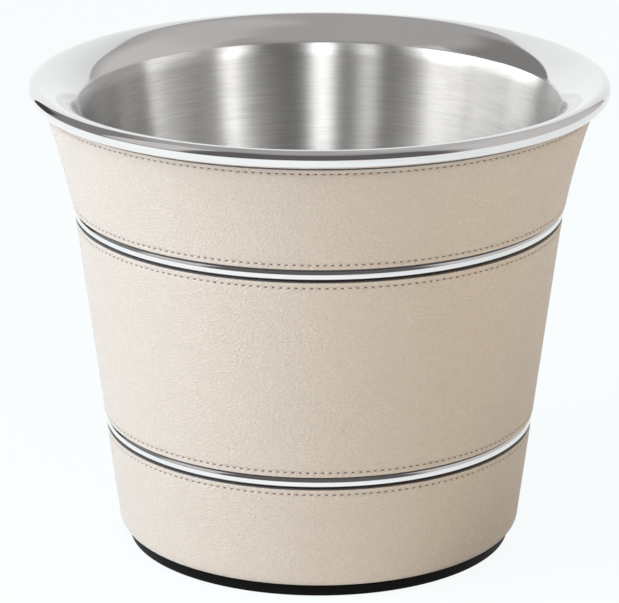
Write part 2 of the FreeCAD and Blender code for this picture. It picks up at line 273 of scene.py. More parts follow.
def wrap_map(piece):
    """Give a leather band its map: once round across, and the height in metres up."""
    mesh = piece.data
    layer = mesh.uv_layers.new(name="band")
    for face in mesh.polygons:
        corners = [mesh.vertices[index].co for index in face.vertices]
        rounds = [(atan2(corner.y, corner.x) / (2 * pi)) % 1.0 for corner in corners]
        wraps = max(rounds) - min(rounds) > 0.5
        for loop, corner, across in zip(face.loop_indices, corners, rounds):
            if wraps and across < 0.5:
                across += 1.0
            layer.data[loop].uv = (across, corner.z)


def dress(piece, node, material):
    """Hand a finished piece over: its material, the body it rides on, and the solid it stands for."""
    piece.data.materials.clear()
    piece.data.materials.append(material)
    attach(piece, "root")
    if node:
        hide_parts(node)


# ---- node building ----

class Nodes:
    """A node tree, with short names for the nodes that it is built from."""

    def __init__(self, tree):
        self.tree = tree

    def node(self, kind, **settings):
        made = self.tree.nodes.new(kind)
        for key, setting in settings.items():
            setattr(made, key, setting)
        return made

    def feed(self, socket, source):
        """Set a socket to a number or colour, or link it to another socket."""
        if isinstance(source, bpy.types.NodeSocket):
            self.tree.links.new(source, socket)
        else:
            socket.default_value = source

    def math(self, operation, *sources):
        made = self.node("ShaderNodeMath", operation=operation)
        for socket, source in zip(made.inputs, sources):
            self.feed(socket, source)
        return made.outputs[0]

    def vector(self, operation, *sources):
        made = self.node("ShaderNodeVectorMath", operation=operation)
        for socket, source in zip(made.inputs, sources):
            self.feed(socket, source)
        return made.outputs

    def apart(self, first, second):
        """How far two values are apart."""
        return self.math("ABSOLUTE", self.math("SUBTRACT", first, second))

    def ramp(self, source, low, high, start=0.0, end=1.0):
        """A smooth step from start to end while the source goes from low to high."""
        made = self.node("ShaderNodeMapRange", interpolation_type="SMOOTHSTEP", clamp=True)
        self.feed(made.inputs["Value"], source)
        for name, level in (("From Min", low), ("From Max", high), ("To Min", start), ("To Max", end)):
            made.inputs[name].default_value = level
        return made.outputs["Result"]

    def blend(self, factor, first, second):
        made = self.node("ShaderNodeMix", data_type="RGBA")
        self.feed(made.inputs["Factor"], factor)
        self.feed(made.inputs["A"], first)
        self.feed(made.inputs["B"], second)
        return made.outputs["Result"]

    def place(self):
        """Object coordinates, in metres."""
        return self.node("ShaderNodeTexCoord").outputs["Object"]

    def split(self, vector):
        """The X, Y and Z of a vector."""
        made = self.node("ShaderNodeSeparateXYZ")
        self.feed(made.inputs[0], vector)
        return made.outputs

    def noise(self, vector, scale, detail=3.0, roughness=0.55):
        made = self.node("ShaderNodeTexNoise")
        self.feed(made.inputs["Vector"], vector)
        for name, level in (("Scale", scale), ("Detail", detail), ("Roughness", roughness)):
            made.inputs[name].default_value = level
        return made.outputs

    def bump(self, height, distance, strength, under=None):
        made = self.node("ShaderNodeBump")
        made.inputs["Strength"].default_value = strength
        made.inputs["Distance"].default_value = distance
        self.feed(made.inputs["Height"], height)
        if under is not None:
            self.feed(made.inputs["Normal"], under)
        return made.outputs["Normal"]


class Finish(Nodes):
    """A material, and the surface shader that its nodes lead to."""

    def __init__(self, name):
        self.material = bpy.data.materials.new(name)
        self.material.use_nodes = True
        super().__init__(self.material.node_tree)
        self.surface = self.tree.nodes["Principled BSDF"]

    def apply(self, sockets):
        """Set or link the surface's sockets by their names."""
        for name, source in sockets.items():
            self.feed(self.surface.inputs[name], source)
        return self.material


def rgba(colour, level=1.0):
    return tuple(level * part for part in colour) + (1.0,)


def round_coordinates(finish, round_scale, path_scale):
    """Coordinates that run slowly round the axis and fast along the section, for marks of turning or brushing."""
    x, y, z = finish.split(finish.place())
    square_x = finish.math("MULTIPLY", x, x)
    radius = finish.math("SQRT", finish.math("MULTIPLY_ADD", y, y, square_x))
    path = finish.math("ADD", radius, z)
    joined = finish.node("ShaderNodeCombineXYZ")
    finish.feed(joined.inputs["X"], finish.math("MULTIPLY", x, round_scale))
    finish.feed(joined.inputs["Y"], finish.math("MULTIPLY", y, round_scale))
    finish.feed(joined.inputs["Z"], finish.math("MULTIPLY", path, path_scale))
    return joined.outputs[0]


def polished_steel(name, colour, roughness, brushed_below=None):
    """Mirror polish with the faint haze of buffing, which turns satin towards the height where brushing starts."""
    finish = Finish(name)
    haze = finish.noise(round_coordinates(finish, 14.0, 420.0), 1.0, 4.0)[0]
    patch = finish.noise(finish.place(), 30.0, 2.0)[0]
    gloss = finish.ramp(haze, 0.35, 0.75, roughness * 0.7, roughness * 1.5)
    if brushed_below:
        height = finish.split(finish.place())["Z"]
        satin = finish.ramp(height, brushed_below * MM, (brushed_below + 1.4) * MM, 0.22, 0.0)
        gloss = finish.math("ADD", gloss, satin)
    shade = finish.blend(finish.ramp(patch, 0.3, 0.7), rgba(colour), rgba(colour, 0.97))
    return finish.apply({"Base Color": shade, "Roughness": gloss, "Metallic": 1.0})


def brushed_steel(name, colour, roughness, outer_shade_coat=None):
    """Steel brushed round the axis: long fine scratches, with a highlight drawn out square to them.

    With an outer coat colour, the face that looks away from the axis is painted with it instead: painted shade
    where that face shows in gaps."""
    finish = Finish(name)
    fine = finish.noise(round_coordinates(finish, 30.0, 3200.0), 1.0, 2.0, 0.6)[0]
    broad = finish.noise(round_coordinates(finish, 12.0, 700.0), 1.0, 2.0)[0]
    lines = finish.noise(round_coordinates(finish, 60.0, 2100.0), 1.0, 2.0, 0.6)[0]
    both = finish.math("MULTIPLY_ADD", broad, 0.35, fine)
    gloss = finish.ramp(both, 0.45, 0.9, roughness * 0.94, roughness * 1.06)
    shade = finish.blend(finish.ramp(lines, 0.3, 0.7), rgba(colour, 0.89), rgba(colour, 1.08))
    metal = 1.0
    if outer_shade_coat:
        # painted shade: the outward face turns dark, matte and not metal
        normal = finish.node("ShaderNodeNewGeometry").outputs["Normal"]
        outwards = finish.vector("MULTIPLY", finish.place(), (1.0, 1.0, 0.0))[0]
        outside = finish.ramp(finish.vector("DOT_PRODUCT", normal, outwards)["Value"], 0.0, 0.001)
        shade = finish.blend(outside, shade, rgba(outer_shade_coat))
        gloss = finish.math("MAXIMUM", gloss, finish.math("MULTIPLY", outside, 0.7))
        metal = finish.math("SUBTRACT", 1.0, outside)
    around = finish.node("ShaderNodeTangent", direction_type="RADIAL", axis="Z")
    return finish.apply({
        "Base Color": shade, "Roughness": gloss, "Metallic": metal, "Anisotropic": 1.0,
        "Anisotropic Rotation": 0.25, "Tangent": around.outputs[0],
        "Normal": finish.bump(fine, 0.003 * MM, 0.35)})


# half the size of a needle hole: as a share of the stitch along the row, and in metres across it
NEEDLE_HOLE = (0.24, 0.37 * MM)
# painted shade inside the needle holes
HOLE_SHADE_COLOUR = (0.09, 0.045, 0.022, 1.0)
# the place of the butt seam on the map, at the back of the bucket
BACK_SEAM = 0.25
SEAM_COLOUR = (0.16, 0.12, 0.085, 1.0)
# painted shade of the gaps where the bands' edges turn in beside the hoops and under the rim
EDGE_SHADE_COLOUR = (0.018, 0.012, 0.008, 1.0)
EDGE_SHADE_STRENGTH = 0.93


def stitch_row(finish, across, up, count, height):
    """Marks of one sewn row: its needle holes, its shallow channel, and the pucker beside each stitch."""
    turned = finish.math("MULTIPLY", across, float(count))
    away = finish.apart(up, height)
    wide = finish.math("DIVIDE", finish.apart(finish.math("FRACT", turned), 0.5), NEEDLE_HOLE[0])
    high = finish.math("DIVIDE", away, NEEDLE_HOLE[1])
    wide_squared = finish.math("MULTIPLY", wide, wide)
    reach = finish.math("SQRT", finish.math("MULTIPLY_ADD", high, high, wide_squared))
    holes = finish.ramp(reach, 0.7, 1.15, 1.0, 0.0)
    channel = finish.ramp(away, 0.0, 1.0 * MM, 1.0, 0.0)
    gather = finish.math("COSINE", finish.math("MULTIPLY", turned, 2 * pi))
    pucker = finish.math("MULTIPLY", gather, finish.ramp(away, 0.3 * MM, 2.4 * MM, 1.0, 0.0))
    return holes, channel, pucker


def leather(name, colour, rows, shaded_below, shaded_above):
    """Soft grained leather. rows lists each sewn row as its count of stitches and its height on the map.

    Below and above the two given heights, where the hide turns over the band's edges, it is painted dark: painted
    shade of the gaps there."""
    finish = Finish(name)
    place = finish.place()
    # the grain's wrinkles are longer round the bucket than up it
    flattened = finish.vector("MULTIPLY", place, (1.0, 1.0, 1.6))[0]
    drift = finish.noise(place, 130.0, 2.0)[1]
    wobble = finish.vector("MULTIPLY_ADD", drift, (2.6 * MM, 2.6 * MM, 3.6 * MM), flattened)[0]
    grain = finish.node("ShaderNodeTexVoronoi", feature="DISTANCE_TO_EDGE")
    finish.feed(grain.inputs["Vector"], wobble)
    grain.inputs["Scale"].default_value = 470.0
    pebble = finish.ramp(grain.outputs["Distance"], 0.0, 0.27)
    creases = finish.noise(wobble, 430.0, 1.6, 0.5)[0]
    crease_line = finish.ramp(finish.apart(creases, 0.5), 0.0, 0.09)
    soft = finish.noise(place, 60.0, 3.0)[0]
    pores = finish.noise(place, 2400.0, 2.0)[0]

    across, up, _ = finish.split(finish.node("ShaderNodeUVMap", uv_map="band").outputs["UV"])
    holes = 0.0
    channel = 0.0
    pucker = 0.0
    for count, height in rows:
        row = stitch_row(finish, across, up, count, height)
        holes = finish.math("MAXIMUM", holes, row[0])
        channel = finish.math("MAXIMUM", channel, row[1])
        pucker = finish.math("ADD", pucker, row[2])
    seam = finish.ramp(finish.apart(across, BACK_SEAM), 0.00022, 0.0009, 1.0, 0.0)
    # painted shade: dark under the lower edge and over the upper edge, in the gaps
    edge_shade = finish.math("MAXIMUM", finish.ramp(up, shaded_above, shaded_above + 0.25 * MM, 0.0, EDGE_SHADE_STRENGTH),
                      finish.ramp(up, shaded_below - 0.15 * MM, shaded_below, EDGE_SHADE_STRENGTH, 0.0))

    tone = finish.blend(finish.ramp(soft, 0.3, 0.7), rgba(colour, 0.965), rgba(colour))
    valley = finish.math("MULTIPLY", pebble, crease_line)
    # painted shade: the grain's valleys and creases are darker
    valley_shade_tone = (0.935 * colour[0], 0.918 * colour[1], 0.898 * colour[2], 1.0)
    tone = finish.blend(finish.ramp(valley, 0.0, 0.6, 1.0, 0.0), tone, valley_shade_tone)
    # painted shade in the needle holes
    tone = finish.blend(finish.math("MULTIPLY", holes, 0.95), tone, HOLE_SHADE_COLOUR)
    tone = finish.blend(finish.math("MULTIPLY", seam, 0.7), tone, SEAM_COLOUR)
    # the painted shade of the edge gaps
    tone = finish.blend(edge_shade, tone, EDGE_SHADE_COLOUR)

    sunk = finish.math("MULTIPLY_ADD", holes, 0.55,
                      finish.math("MAXIMUM", channel, finish.math("MULTIPLY", seam, 2.0)))
    normal = None
    for relief, distance, strength in (
        (soft, 0.6 * MM, 0.5), (creases, 0.4 * MM, 0.65), (crease_line, 0.06 * MM, 0.8),
        (pebble, 0.145 * MM, 0.9), (pores, 0.015 * MM, 0.4), (pucker, 0.05 * MM, 1.0),
        (finish.math("MULTIPLY", sunk, -1.0), 0.22 * MM, 1.0),
    ):
        normal = finish.bump(relief, distance, strength, normal)
    return finish.apply({
        "Base Color": tone, "Normal": normal, "Roughness": finish.ramp(valley, 0.0, 0.8, 0.58, 0.43),
        "Specular IOR Level": 1.0, "IOR": 1.55, "Sheen Weight": 0.3, "Sheen Roughness": 0.5})


def sewing_thread(name, colour):
    """Twisted waxed thread."""
    finish = Finish(name)
    twist = finish.noise(finish.place(), 3800.0, 2.0)[0]
    shade = finish.blend(finish.ramp(twist, 0.3, 0.7), rgba(colour, 0.84), rgba(colour))
    return finish.apply({"Base Color": shade, "Normal": finish.bump(twist, 0.03 * MM, 0.6), "Roughness": 0.5})


def moulded_rubber(name, colour):
    """Matte moulded rubber, with fine rings from the mould underneath."""
    finish = Finish(name)
    grain = finish.noise(finish.place(), 1500.0, 3.0)[0]
    rings = finish.noise(round_coordinates(finish, 1.5, 260.0), 1.0, 1.0)[0]
    shade = finish.blend(finish.ramp(rings, 0.3, 0.7), rgba(colour), rgba(colour, 1.5))
    normal = finish.bump(rings, 0.12 * MM, 0.4)
    return finish.apply({
        "Base Color": shade, "Roughness": finish.ramp(grain, 0.3, 0.7, 0.42, 0.56),
        "Specular IOR Level": 0.07, "Normal": finish.bump(grain, 0.03 * MM, 0.5, normal)})


def pressed_board(name, colour, scale, depth):
    """Pressed fibre or granules, matte."""
    finish = Finish(name)
    chips = finish.node("ShaderNodeTexVoronoi")
    finish.feed(chips.inputs["Vector"], finish.place())
    chips.inputs["Scale"].default_value = scale
    fibre = finish.noise(finish.place(), scale * 3, 4.0)[0]
    tint = finish.node("ShaderNodeSeparateColor")
    finish.feed(tint.inputs[0], chips.outputs["Color"])
    shade = finish.blend(tint.outputs["Red"], rgba(colour, 0.72), rgba(colour))
    return finish.apply({"Base Color": shade, "Normal": finish.bump(fibre, depth, 0.6), "Roughness": 0.85})


# ---- settings that a user would change ----

class BucketSteelSettings(PropertyGroup):
    polish_colour: FloatVectorProperty(
        name="Polished steel", description="Colour of the lip, the rim and the hoops",
        subtype="COLOR", size=3, min=0.0, max=1.0, default=(0.84, 0.835, 0.83))
    polish_roughness: FloatProperty(
        name="Polish", description="Roughness of the polished steel",
        default=0.045, min=0.0, max=1.0, subtype="FACTOR")
    brushed_colour: FloatVectorProperty(
        name="Brushed steel", description="Colour of the liner's brushed wall",
        subtype="COLOR", size=3, min=0.0, max=1.0, default=(0.62, 0.615, 0.605))
    brushed_roughness: FloatProperty(
        name="Brushing", description="Roughness of the brushed wall",
        default=0.36, min=0.0, max=1.0, subtype="FACTOR")


class BucketLeatherSettings(PropertyGroup):
    leather_colour: FloatVectorProperty(
        name="Leather", description="Colour of the leather bands",
        subtype="COLOR", size=3, min=0.0, max=1.0, default=(0.645, 0.532, 0.415))
    thread_colour: FloatVectorProperty(
        name="Thread", description="Colour of the sewing thread",
        subtype="COLOR", size=3, min=0.0, max=1.0, default=(0.72, 0.61, 0.495))
    stitch_pitch: FloatProperty(
        name="Stitch length", description="From one needle hole to the next",
        default=3.15 * MM, min=1.0 * MM, max=10.0 * MM, subtype="DISTANCE", unit="LENGTH")
    thread_thickness: FloatProperty(
        name="Thread thickness", description="Width of the thread",
        default=0.55 * MM, min=0.2 * MM, max=2.0 * MM, subtype="DISTANCE", unit="LENGTH")
    edge_rounding: FloatProperty(
        name="Turned edge", description="Rounding of the leather where it turns over an edge",
        default=0.5 * MM, min=0.2 * MM, max=1.5 * MM, subtype="DISTANCE", unit="LENGTH")


class BucketFootSettings(PropertyGroup):
    rubber_colour: FloatVectorProperty(
        name="Foot", description="Colour of the rubber foot",
        subtype="COLOR", size=3, min=0.0, max=1.0, default=(0.003, 0.0026, 0.0023))
    steps: IntProperty(
        name="Steps round", description="Faces round the foot", default=ROUND_STEPS, min=32, max=512)


class BucketStudioSettings(PropertyGroup):
    key_power: FloatProperty(
        name="Key light", description="Power of the softbox at the left",
        default=29.0, min=0.0, subtype="POWER", unit="POWER")
    fill_power: FloatProperty(
        name="Fill light", description="Power of the broad light over the camera",
        default=9.0, min=0.0, subtype="POWER", unit="POWER")
    right_power: FloatProperty(
        name="Right light", description="Power of the softbox at the right",
        default=5.6, min=0.0, subtype="POWER", unit="POWER")
    streaks: FloatProperty(
        name="Streaks", description="Brightness of the streaks on the brushed bowl",
        default=1.0, min=0.0, max=5.0)
    surround: FloatProperty(
        name="Surround", description="Brightness of the studio round the bucket",
        default=1.0, min=0.0, max=4.0)


# ---- pieces ----

class BUCKET_OT_bowl(Operator):
    """Turn the liner's bowl, from the middle of its floor up to the edge of the lip, and brush it"""
    bl_idname = "bucket.bowl"
    bl_label = "Bowl"

    def execute(self, context):
        settings = context.scene.bucket_steel
        tilt, throat = liner_wall()
        lean = degrees(tilt)
        run = LINER_CORNER_RADIUS * tan((pi / 2 - tilt) / 2)
        corner = (LINER_FLOOR_RADIUS - run, LINER_FLOOR_HEIGHT + LINER_CORNER_RADIUS)
        wall_top = (throat[0] - THROAT_RADIUS * cos(tilt), throat[1] + THROAT_RADIUS * sin(tilt))
        # up the inside, over the edge that meets the lip, and down the outside
        outline = Outline("liner_bowl", (0.0, LINER_FLOOR_HEIGHT))
        outline.parted_line((corner[0], LINER_FLOOR_HEIGHT), 6)
        outline.arc(corner, 90 - lean, 12)
        wall_foot = outline.at
        outline.parted_line(wall_top, 12)
        outline.arc(throat, lean - LIP_INNER, 12)
        outline.line(through_sheet(outline.at, radians(LIP_INNER)))
        outline.arc(throat, LIP_INNER - lean, 6)
        outline.line(through_sheet(wall_foot, tilt))
        outline.arc(corner, lean - 90, 8)
        outline.line((0.0, LINER_FLOOR_HEIGHT - LINER_SHEET))
        piece = outline.turn(STEEL_STEPS)
        brushed = brushed_steel("brushed_liner_steel", settings.brushed_colour, settings.brushed_roughness)
        dress(piece, "liner", brushed)
        return {"FINISHED"}


class BUCKET_OT_rim(Operator):
    """Turn the liner's lip and rolled rim, and polish them"""
    bl_idname = "bucket.rim"
    bl_label = "Lip and rolled rim"

    def execute(self, context):
        settings = context.scene.bucket_steel
        inner = lip_edge()
        outline = Outline("liner_rim", inner)
        outline.arc(LIP_CENTRE, LIP_INNER - LIP_OUTER, 26)
        outline.arc(BEAD_CENTRE, LIP_OUTER - CURL_END, 40)
        outline.line(through_sheet(outline.at, radians(CURL_END)))
        outline.arc(BEAD_CENTRE, CURL_END - LIP_OUTER, 24)
        outline.arc(LIP_CENTRE, LIP_OUTER - LIP_INNER, 14)
        outline.close()
        piece = outline.turn(STEEL_STEPS)
        polish = polished_steel("polished_rim_steel", settings.polish_colour, settings.polish_roughness, inner[1])
        dress(piece, "liner", polish)
        return {"FINISHED"}


class BUCKET_OT_hoops(Operator):
    """Turn the two half-round hoops"""
    bl_idname = "bucket.hoops"
    bl_label = "Hoops"

    def execute(self, context):
        settings = context.scene.bucket_steel
        metal = polished_steel("polished_hoop_steel", settings.polish_colour, settings.polish_roughness)
        depth = HOOP_CREST - HOOP_FLAT
        radius = (depth ** 2 + HOOP_HALF_WIDTH ** 2) / (2 * depth)
        sweep = 2 * degrees(asin(min(1.0, HOOP_HALF_WIDTH / radius)))
        for node, height in (("lower_hoop", LOWER_HOOP_HEIGHT), ("upper_hoop", UPPER_HOOP_HEIGHT)):
            outline = Outline(node + "_wire", wall_point(height, HOOP_FLAT, -HOOP_HALF_WIDTH))
            outline.arc(wall_point(height, HOOP_CREST - radius), sweep, 28)
            outline.line(wall_point(height, HOOP_FLAT, HOOP_HALF_WIDTH / 3))
            outline.line(wall_point(height, HOOP_FLAT, -HOOP_HALF_WIDTH / 3))
            outline.close()
            dress(outline.turn(STEEL_STEPS), node, metal)
        return {"FINISHED"}


class BUCKET_OT_leather(Operator):
    """Turn the three leather bands with their turned edges, sewn channels and back seam"""
    bl_idname = "bucket.leather"
    bl_label = "Leather bands"

    def over_the_edge(self, outline, top, rounding):
        """Draw the rounded upper edge, the band's back behind it, and the pocket's upper end."""
        face = face_offset(0.0)
        outline.line(wall_point(top, face, -rounding))
        outline.arc(wall_point(top, face - rounding, -rounding), 90, 8)
        outline.line(wall_point(top, LEATHER_BACK), wall_point(top, LEATHER_BACK, -POCKET_RIM),
                     wall_point(top, POCKET_FACE, -POCKET_RIM))

    def straight_band(self, node, bottom, top, rounding):
        """Draw a band with two turned edges, up its face and down its back round the pocket."""
        face = face_offset(0.0)
        outline = Outline(node + "_skin", wall_point(bottom, LEATHER_BACK))
        outline.line(wall_point(bottom, face - rounding))
        outline.arc(wall_point(bottom, face - rounding, rounding), 90, 8)
        for height in face_heights(bottom, top):
            outline.line(wall_point(height, face_offset(min(height - bottom, top - height))))
        self.over_the_edge(outline, top, rounding)
        count = max(2, int((top - bottom) / POCKET_SPACING))
        for part in range(1, count):
            outline.line(wall_point(top - (top - bottom) * part / count, POCKET_FACE))
        outline.line(wall_point(bottom, POCKET_FACE, POCKET_RIM), wall_point(bottom, LEATHER_BACK, POCKET_RIM))
        outline.close()
        return outline.turn(ROUND_STEPS)

    def hemmed_band(self, node, top, rounding):
        """Draw the lowest band, which runs round the bucket's bottom corner to its hem."""
        corner = (BASE_RADIUS - CORNER_RADIUS * tan((pi / 2 - WALL_ANGLE) / 2), FLOOR_HEIGHT + CORNER_RADIUS)
        sweep = 90 - degrees(WALL_ANGLE)
        outline = Outline(node + "_skin", (HEM_RADIUS, FLOOR_HEIGHT - LEATHER_BACK))
        outline.line((HEM_RADIUS, FLOOR_HEIGHT - LEATHER_FACE), (corner[0], FLOOR_HEIGHT - LEATHER_FACE))
        outline.arc(corner, sweep, 14)
        bottom = outline.at[1] + LEATHER_FACE * sin(WALL_ANGLE)
        plain_top = top - 7.0
        for part in range(1, 6):
            outline.line(wall_point(bottom + (plain_top - bottom) * part / 5, LEATHER_FACE))
        for ring in reversed(EDGE_RINGS):
            outline.line(wall_point(top - ring, face_offset(ring)))
        self.over_the_edge(outline, top, rounding)
        pocket_top = top - POCKET_RIM
        for part in range(1, 5):
            outline.line(wall_point(pocket_top - (pocket_top - bottom) * part / 4, POCKET_FACE))
        outline.arc(corner, -sweep, 8)
        inside_hem = HEM_RADIUS + POCKET_RIM
        outline.line((inside_hem, FLOOR_HEIGHT - POCKET_FACE), (inside_hem, FLOOR_HEIGHT - LEATHER_BACK))
        outline.close()
        return outline.turn(ROUND_STEPS)

    def execute(self, context):
        settings = context.scene.bucket_leather
        rounding = settings.edge_rounding / MM
        for node, bottom, top, rows in BANDS:
            if bottom is None:
                piece = self.hemmed_band(node, top, rounding)
            else:
                piece = self.straight_band(node, bottom, top, rounding)
            wrap_map(piece)
            marks = []
            for height in rows.values():
                radius, level = row_place(height)
                marks.append((stitch_count(radius, settings.stitch_pitch), level * MM))
            # the rim leaves a shadowed gap over the upper band, a little deeper than a hoop does, so the painted
            # shade starts lower there
            shade_lift = 0.3 if top < UPPER_BAND_TOP else -0.2
            turned_edge = wall_point(top, face_offset(0.0), -rounding)[1]
            skin = leather(node + "_hide", settings.leather_colour, marks,
                           ((bottom or 0.0) - 0.05) * MM, (turned_edge + shade_lift) * MM)
            dress(piece, node, skin)
        return {"FINISHED"}


# Where the bar of a stitch is bent, as shares of its length, and how it dips at each bend: the share of the
# length, the drop as a share of the thickness, and the size of what is past it.
STITCH_BENDS = (-0.36, -0.2, 0.2, 0.36)
STITCH_DIPS = ((0.36, 0.16, 0.9), (0.5, 0.75, 0.55))
STITCH_SHARE_OF_PITCH = 0.68
STITCH_LIFT = 0.12


class BUCKET_OT_stitches(Operator):
    """Sew the five rows: one stitch is modelled and set round the bucket"""
    bl_idname = "bucket.stitches"
    bl_label = "Stitches"

    def stitch(self, name, radius, level, tilt, length, thickness):
        """One stitch along Y at the place of the row's first: a round bar that dips at both ends."""
        bpy.ops.object.select_all(action="DESELECT")
        bpy.ops.mesh.primitive_cylinder_add(vertices=8, radius=thickness / 2, depth=length,
                                            end_fill_type="NGON", location=(0, 0, 0), rotation=(pi / 2, 0, 0))
        piece = bpy.context.object
        piece.name = name
        piece.data.name = name
        bpy.ops.object.transform_apply(location=False, rotation=True, scale=False)
        bpy.ops.object.mode_set(mode="EDIT")
        bpy.ops.mesh.select_mode(type="VERT")
        for share in STITCH_BENDS:
            bpy.ops.mesh.select_all(action="SELECT")
            bpy.ops.mesh.bisect(plane_co=(0, share * length, 0), plane_no=(0, 1, 0))
        for share, drop, size in STITCH_DIPS:
            for side in (-1, 1):
                bend = side * share * length
                mesh = bmesh.from_edit_mesh(piece.data)
                for vertex in mesh.verts:
                    vertex.select_set(abs(vertex.co.y - bend) < 0.02 * length)
                mesh.select_flush(True)
                bmesh.update_edit_mesh(piece.data)
                bpy.ops.transform.resize(value=(size, 1, size), center_override=(0, bend, 0))
                bpy.ops.transform.translate(value=(-drop * thickness, 0, 0))
        bpy.ops.mesh.select_all(action="SELECT")
        bpy.ops.transform.rotate(value=-tilt, orient_axis="Y", center_override=(0, 0, 0))
        bpy.ops.transform.translate(value=(radius * MM, 0, level * MM))
        bpy.ops.object.mode_set(mode="OBJECT")
        return piece

    def sew(self, name, height, settings, thread):
        """Model a row's first stitch and repeat it round the bucket."""
        radius, level = row_place(height)
        tilt = wall_tilt(height)
        count = stitch_count(radius, settings.stitch_pitch)
        pitch = 2 * pi * radius * MM / count
        thickness = settings.thread_thickness
        lift = (thickness / MM) * STITCH_LIFT
        piece = self.stitch(name, radius + lift * cos(tilt), level - lift * sin(tilt), tilt,
                            pitch * STITCH_SHARE_OF_PITCH, thickness)
        bpy.ops.object.empty_add(location=(0, 0, 0), rotation=(0, 0, 2 * pi / count))
        turner = bpy.context.object
        bpy.ops.object.select_all(action="DESELECT")
        piece.select_set(True)
        bpy.context.view_layer.objects.active = piece
        bpy.ops.object.modifier_add(type="ARRAY")
        array = piece.modifiers[-1]
        array.use_relative_offset = False
        array.use_object_offset = True
        array.offset_object = turner
        array.count = count
        bpy.ops.object.modifier_apply(modifier=array.name)
        bpy.ops.object.shade_smooth()
        bpy.data.objects.remove(turner)
        dress(piece, None, thread)

    def execute(self, context):
        settings = context.scene.bucket_leather
        thread = sewing_thread("sewing_thread", settings.thread_colour)
        for *_, rows in BANDS:
            for name, height in rows.items():
                self.sew(name, height, settings, thread)
        return {"FINISHED"}


class BUCKET_OT_foot(Operator):
    """Turn the rubber foot"""
    bl_idname = "bucket.foot"
    bl_label = "Foot"

    def execute(self, context):
        settings = context.scene.bucket_foot
        outline = Outline("foot_moulding", (0.0, 0.0))
        outline.parted_line((FOOT_RADIUS - FOOT_EDGE, 0.0), 5)
        outline.arc((FOOT_RADIUS - FOOT_EDGE, FOOT_EDGE), 90, 8)
        outline.line((FOOT_RADIUS, FOOT_HEIGHT - FOOT_UPPER_EDGE))
        outline.arc((FOOT_RADIUS - FOOT_UPPER_EDGE, FOOT_HEIGHT - FOOT_UPPER_EDGE), 90, 4)
        outline.line((FOOT_BOSS_RADIUS, FOOT_HEIGHT), (FOOT_BOSS_RADIUS, FOOT_BOSS_HEIGHT),
                     (0.0, FOOT_BOSS_HEIGHT))
        piece = outline.turn(settings.steps)
        rubber = moulded_rubber("foot_rubber", settings.rubber_colour)
        dress(piece, "foot", rubber)
        return {"FINISHED"}


class BUCKET_OT_inner_pieces(Operator):
    """Finish the pieces that the cladding and the liner hide"""
    bl_idname = "bucket.inner_pieces"
    bl_label = "Inner pieces"

    def execute(self, context):
        spun = [0.8 * part for part in context.scene.bucket_steel.brushed_colour]
        board = pressed_board("leather_board", (0.36, 0.27, 0.18), 900.0, 0.08 * MM)
        finishes = {
            # the casing's outside is painted near black: painted shade for the gaps beside the hoops and under the
            # rim
            "casing": brushed_steel("spun_casing_steel", spun, 0.36, (0.018, 0.014, 0.011)),
            "support_pad": pressed_board("pressed_cork", (0.45, 0.29, 0.16), 420.0, 0.2 * MM),
            "lower_backing": board,
            "middle_backing": board,
            "upper_backing": board,
        }
        for node, material in finishes.items():
            mesh = NODES[node].data
            mesh.materials.clear()
            mesh.materials.append(material)
        return {"FINISHED"}


# ---- studio ----

# the camera at the photograph's viewing angle, in metres, with its pitch in degrees and its lens in millimetres
CAMERA_DISTANCE = 1.5147
CAMERA_HEIGHT = 0.5858
CAMERA_PITCH = 17.624
CAMERA_ASIDE = -0.0041
CAMERA_LENS = 211.07

FLOOR_RADIUS = 3.2
FLOOR_COLOUR = (0.95, 0.955, 0.96, 1.0)
FLOOR_SHADE = (0.12, 0.11, 0.1, 1.0)
FLOOR_GLOW = (0.956, 0.988, 0.997, 1.0)
SHADED_SPOT = (0.175, 0.0, 0.0)
ROOM_TINT = (1.0, 0.975, 0.96, 1.0)
BACKDROP_TINT = (0.965, 0.985, 0.993, 1.0)

# Bearings run from the middle of the backdrop, positive to the right, and heights from the horizon, both in
# degrees. Each panel of the surround: brightness, left, right, low, high, and softness of its edges.
SURROUND_PANELS = (
    (0.24, -92.0, -30.0, -90.0, 52.0, 5.0),
    (0.06, -53.0, -30.0, -90.0, 20.0, 3.0),
    (0.52, 8.0, 100.0, 47.0, 75.0, 7.0),
    (0.62, -125.0, -88.0, 8.0, 58.0, 3.0),
    (0.60, 38.0, 122.0, -90.0, 56.0, 8.0),
)

# each tall light for the brushed bowl: left, right, high and brightness
BOWL_LIGHTS = {
    "streak_at_left_edge": (83.5, 88.0, 56.0, 7.5),
    "streak_left": (126.5, 137.5, 56.0, 5.8),
    "streak_middle": (175.6, 188.2, 56.0, 6.1),
    "streak_beside_middle": (201.5, 212.5, 56.0, 3.0),
    "glow_starts": (236.5, 252.5, 56.0, 3.25),
    "glow_brightest": (252.5, 262.5, 56.0, 4.1),
    "glow_right": (262.5, 290.0, 56.0, 2.9),
    "glow_ends": (290.0, 320.0, 40.0, 4.2),
}
BOWL_LIGHTS_LOW = 12.0
BOWL_LIGHTS_DISTANCE = 5.0

# heights that the lamps are aimed at
MIDDLE_OF_BUCKET = 0.12
MIDDLE_OF_BOWL = 0.19


